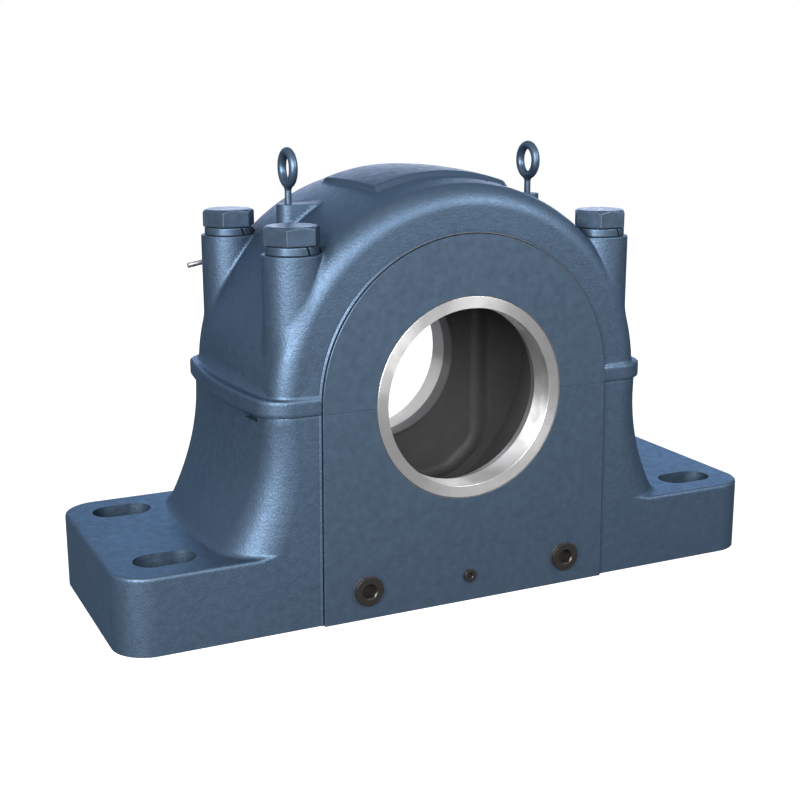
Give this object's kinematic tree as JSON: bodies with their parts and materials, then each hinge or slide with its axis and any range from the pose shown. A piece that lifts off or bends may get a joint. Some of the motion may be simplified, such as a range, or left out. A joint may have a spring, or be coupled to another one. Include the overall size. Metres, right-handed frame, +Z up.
{
  "type": "split plummer block",
  "caption": "Large split bearing housing: cast base with slotted foot, arched cap on four bolts, labyrinth seal rings on both sides, lifting eyes and plugs.",
  "frame": {"origin": "middle of the base's underside", "axes": "+X along the foot, +Y along the shaft towards the rear, +Z up"},
  "size_m": [0.88, 0.33, 0.5559],
  "materials": {
    "paint": "slate blue satin paint over cast iron",
    "turned_steel": "fine turned",
    "pin_steel": "ground",
    "black_steel": "black oxide",
    "copper": "soft copper",
    "pipe_steel": "drawn grey steel"
  },
  "bodies": {
    "housing": {"housing_base": "paint", "housing_cap": "paint", "cap_bolt_front_left": "paint", "cap_bolt_front_right": "paint", "cap_bolt_rear_left": "paint", "cap_bolt_rear_right": "paint", "spring_washer_front_left": "paint", "spring_washer_front_right": "paint", "spring_washer_rear_left": "paint", "spring_washer_rear_right": "paint", "eyebolt_left": "paint", "eyebolt_right": "paint", "dowel_pin_left": "pin_steel", "dowel_pin_right": "pin_steel", "drain_plug_front_left": "black_steel", "drain_plug_front_right": "black_steel", "drain_plug_rear_left": "black_steel", "drain_plug_rear_right": "black_steel", "small_plug_front": "black_steel", "small_plug_rear": "black_steel", "plug_gasket_front_left": "copper", "plug_gasket_front_right": "copper", "plug_gasket_rear_left": "copper", "plug_gasket_rear_right": "copper", "pipe_fitting": "pipe_steel", "grease_pipe": "pipe_steel"},
    "front_ring": {"front_seal_ring": "turned_steel"},
    "rear_ring": {"rear_seal_ring": "turned_steel"}
  },
  "joints": [
    {"name": "front_ring_spin", "type": "hinge", "parent": "housing", "child": "front_ring", "pos_m": [0, -0.1345, 0.26], "axis": [0, 1, 0], "continuous": true},
    {"name": "rear_ring_spin", "type": "hinge", "parent": "housing", "child": "rear_ring", "pos_m": [0, 0.1345, 0.26], "axis": [0, 1, 0], "continuous": true}
  ]
}
